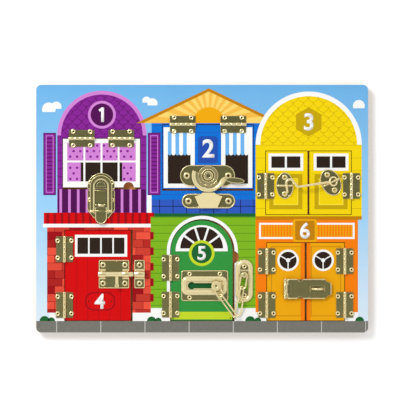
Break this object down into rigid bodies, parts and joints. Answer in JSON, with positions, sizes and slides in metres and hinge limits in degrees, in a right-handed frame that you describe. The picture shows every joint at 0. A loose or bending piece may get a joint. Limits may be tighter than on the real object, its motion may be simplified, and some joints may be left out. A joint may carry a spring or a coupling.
{
  "type": "latch_activity_board",
  "caption": "Wooden busy board for toddlers: hinged doors and flaps in a flat panel, each held shut by its own brass latch",
  "frame": {"origin": "centre of the board's back face", "axes": "X to the right, Y up the board, Z out of its face"},
  "size_m": [0.394, 0.294, 0.0237],
  "materials": {
    "printed_wood": "semi-gloss print on plywood with bare brown edges",
    "back_wood": "smooth bare plywood",
    "brass_sheet": "brass-plated pressed sheet, semi-gloss",
    "bright_brass": "polished brass plating",
    "rivet_brass": "polished rolled rivets"
  },
  "bodies": {
    "root": {"front_board": "printed_wood", "back_panel": "back_wood", "board_hinge_leaves": "brass_sheet", "hinge_pins": "bright_brass", "board_rivets": "rivet_brass", "draw_base_plate": "brass_sheet", "draw_lever_pin": "bright_brass", "sash_keeper": "bright_brass", "bolt_keeper": "bright_brass", "chain_anchor_plate": "bright_brass", "chain_post": "bright_brass"},
    "flap_1": {"flap_1": "printed_wood", "flap_1_hinge_leaves": "brass_sheet", "flap_1_rivets": "rivet_brass", "draw_catch_plate": "brass_sheet"},
    "draw_lever": {"draw_lever": "bright_brass", "draw_loop_pin": "bright_brass"},
    "draw_loop": {"draw_loop": "bright_brass"},
    "flap_2": {"flap_2": "printed_wood", "flap_2_hinge_leaves": "brass_sheet", "flap_2_rivets": "rivet_brass", "sash_plate": "brass_sheet", "sash_pivot": "bright_brass"},
    "sash_cam": {"sash_cam": "bright_brass"},
    "door_3_left": {"door_3_left": "printed_wood", "door_3_left_hinge_leaf": "brass_sheet", "door_3_left_rivets": "rivet_brass", "hook_rest_plate": "brass_sheet", "hook_rest_staple": "bright_brass"},
    "door_3_right": {"door_3_right": "printed_wood", "door_3_right_hinge_leaf": "brass_sheet", "door_3_right_rivets": "rivet_brass", "hook_eye_plate": "brass_sheet", "hook_eye_staple": "bright_brass"},
    "hook": {"hook": "bright_brass"},
    "door_4": {"door_4": "printed_wood", "door_4_hinge_leaves": "brass_sheet", "door_4_rivets": "rivet_brass", "bolt_plate": "bright_brass"},
    "bolt": {"bolt_rod": "bright_brass", "bolt_handle": "bright_brass"},
    "door_5": {"door_5": "printed_wood", "door_5_hinge_leaves": "brass_sheet", "door_5_rivets": "rivet_brass", "chain_slide_plate": "bright_brass"},
    "slider": {"chain_slider": "bright_brass"},
    "slider_chain": {"chain_slider_links": "bright_brass"},
    "anchor_chain": {"chain_anchor_links": "bright_brass"},
    "door_6_left": {"door_6_left": "printed_wood", "door_6_left_hinge_leaves": "brass_sheet", "door_6_left_rivets": "rivet_brass", "hasp_leaf": "brass_sheet", "hasp_pin": "bright_brass"},
    "hasp": {"hasp_strap": "brass_sheet"},
    "door_6_right": {"door_6_right": "printed_wood", "door_6_right_hinge_leaves": "brass_sheet", "door_6_right_rivets": "rivet_brass", "hasp_staple_plate": "brass_sheet", "hasp_staple": "bright_brass"}
  },
  "joints": [
    {"name": "flap_1_hinge", "type": "hinge", "parent": "root", "child": "flap_1", "pos_m": [-0.1195, 0.0833, 0.0143], "axis": [-1, 0, 0], "range_deg": [0, 90]},
    {"name": "draw_lever_pivot", "type": "hinge", "parent": "root", "child": "draw_lever", "pos_m": [-0.1199, 0.0041, 0.0152], "axis": [-1, 0, 0], "range_deg": [0, 90]},
    {"name": "draw_loop_pivot", "type": "hinge", "parent": "draw_lever", "child": "draw_loop", "pos_m": [-0.1199, -0.003, 0.0152], "axis": [1, 0, 0], "range_deg": [0, 252]},
    {"name": "flap_2_hinge", "type": "hinge", "parent": "root", "child": "flap_2", "pos_m": [0.0069, 0.1, 0.0143], "axis": [-1, 0, 0], "range_deg": [0, 150]},
    {"name": "sash_cam_turn", "type": "hinge", "parent": "flap_2", "child": "sash_cam", "pos_m": [0.0072, 0.0391, 0.0144], "axis": [0, 0, 1], "range_deg": [0, 150]},
    {"name": "door_3_left_hinge", "type": "hinge", "parent": "root", "child": "door_3_left", "pos_m": [0.07535, 0.0269, 0.0143], "axis": [0, -1, 0], "range_deg": [0, 90]},
    {"name": "door_3_right_hinge", "type": "hinge", "parent": "root", "child": "door_3_right", "pos_m": [0.17705, 0.0269, 0.0143], "axis": [0, 1, 0], "range_deg": [0, 90]},
    {"name": "hook_lift", "type": "hinge", "parent": "door_3_right", "child": "hook", "pos_m": [0.15533, 0.03235, 0.0191], "axis": [-0.1553, 0.9879, 0], "range_deg": [0, 108]},
    {"name": "door_4_hinge", "type": "hinge", "parent": "root", "child": "door_4", "pos_m": [-0.1633, -0.08125, 0.0143], "axis": [0, -1, 0], "range_deg": [0, 150]},
    {"name": "bolt_slide", "type": "slide", "parent": "door_4", "child": "bolt", "axis": [1, 0, 0], "range_m": [-0.0112, 0.0044]},
    {"name": "door_5_hinge", "type": "hinge", "parent": "root", "child": "door_5", "pos_m": [-0.0376, -0.092, 0.0143], "axis": [0, -1, 0], "range_deg": [0, 150]},
    {"name": "chain_slide", "type": "slide", "parent": "door_5", "child": "slider", "axis": [-1, 0, 0], "range_m": [-0.002, 0.029]},
    {"name": "slider_chain_swing", "type": "hinge", "parent": "slider", "child": "slider_chain", "pos_m": [0.0165, -0.0914, 0.01806], "axis": [0, 0, -1], "range_deg": [0, 35]},
    {"name": "anchor_chain_swing", "type": "hinge", "parent": "root", "child": "anchor_chain", "pos_m": [0.05, -0.0788, 0.01806], "axis": [0, 0, 1], "range_deg": [0, 20]},
    {"name": "door_6_left_hinge", "type": "hinge", "parent": "root", "child": "door_6_left", "pos_m": [0.07665, -0.08825, 0.0143], "axis": [0, -1, 0], "range_deg": [0, 90]},
    {"name": "hasp_lift", "type": "hinge", "parent": "door_6_left", "child": "hasp", "pos_m": [0.0985, -0.0951, 0.0149], "axis": [0, -1, 0], "range_deg": [0, 110.5]},
    {"name": "door_6_right_hinge", "type": "hinge", "parent": "root", "child": "door_6_right", "pos_m": [0.16915, -0.08825, 0.0143], "axis": [0, 1, 0], "range_deg": [0, 85]}
  ],
  "couplings": [
    {"joint": "draw_lever_pivot", "follows": "flap_1_hinge", "ratio": 1},
    {"joint": "draw_loop_pivot", "follows": "flap_1_hinge", "ratio": 2.8},
    {"joint": "hook_lift", "follows": "door_3_left_hinge", "ratio": 1.2},
    {"joint": "hasp_lift", "follows": "door_6_right_hinge", "ratio": 1.3}
  ]
}
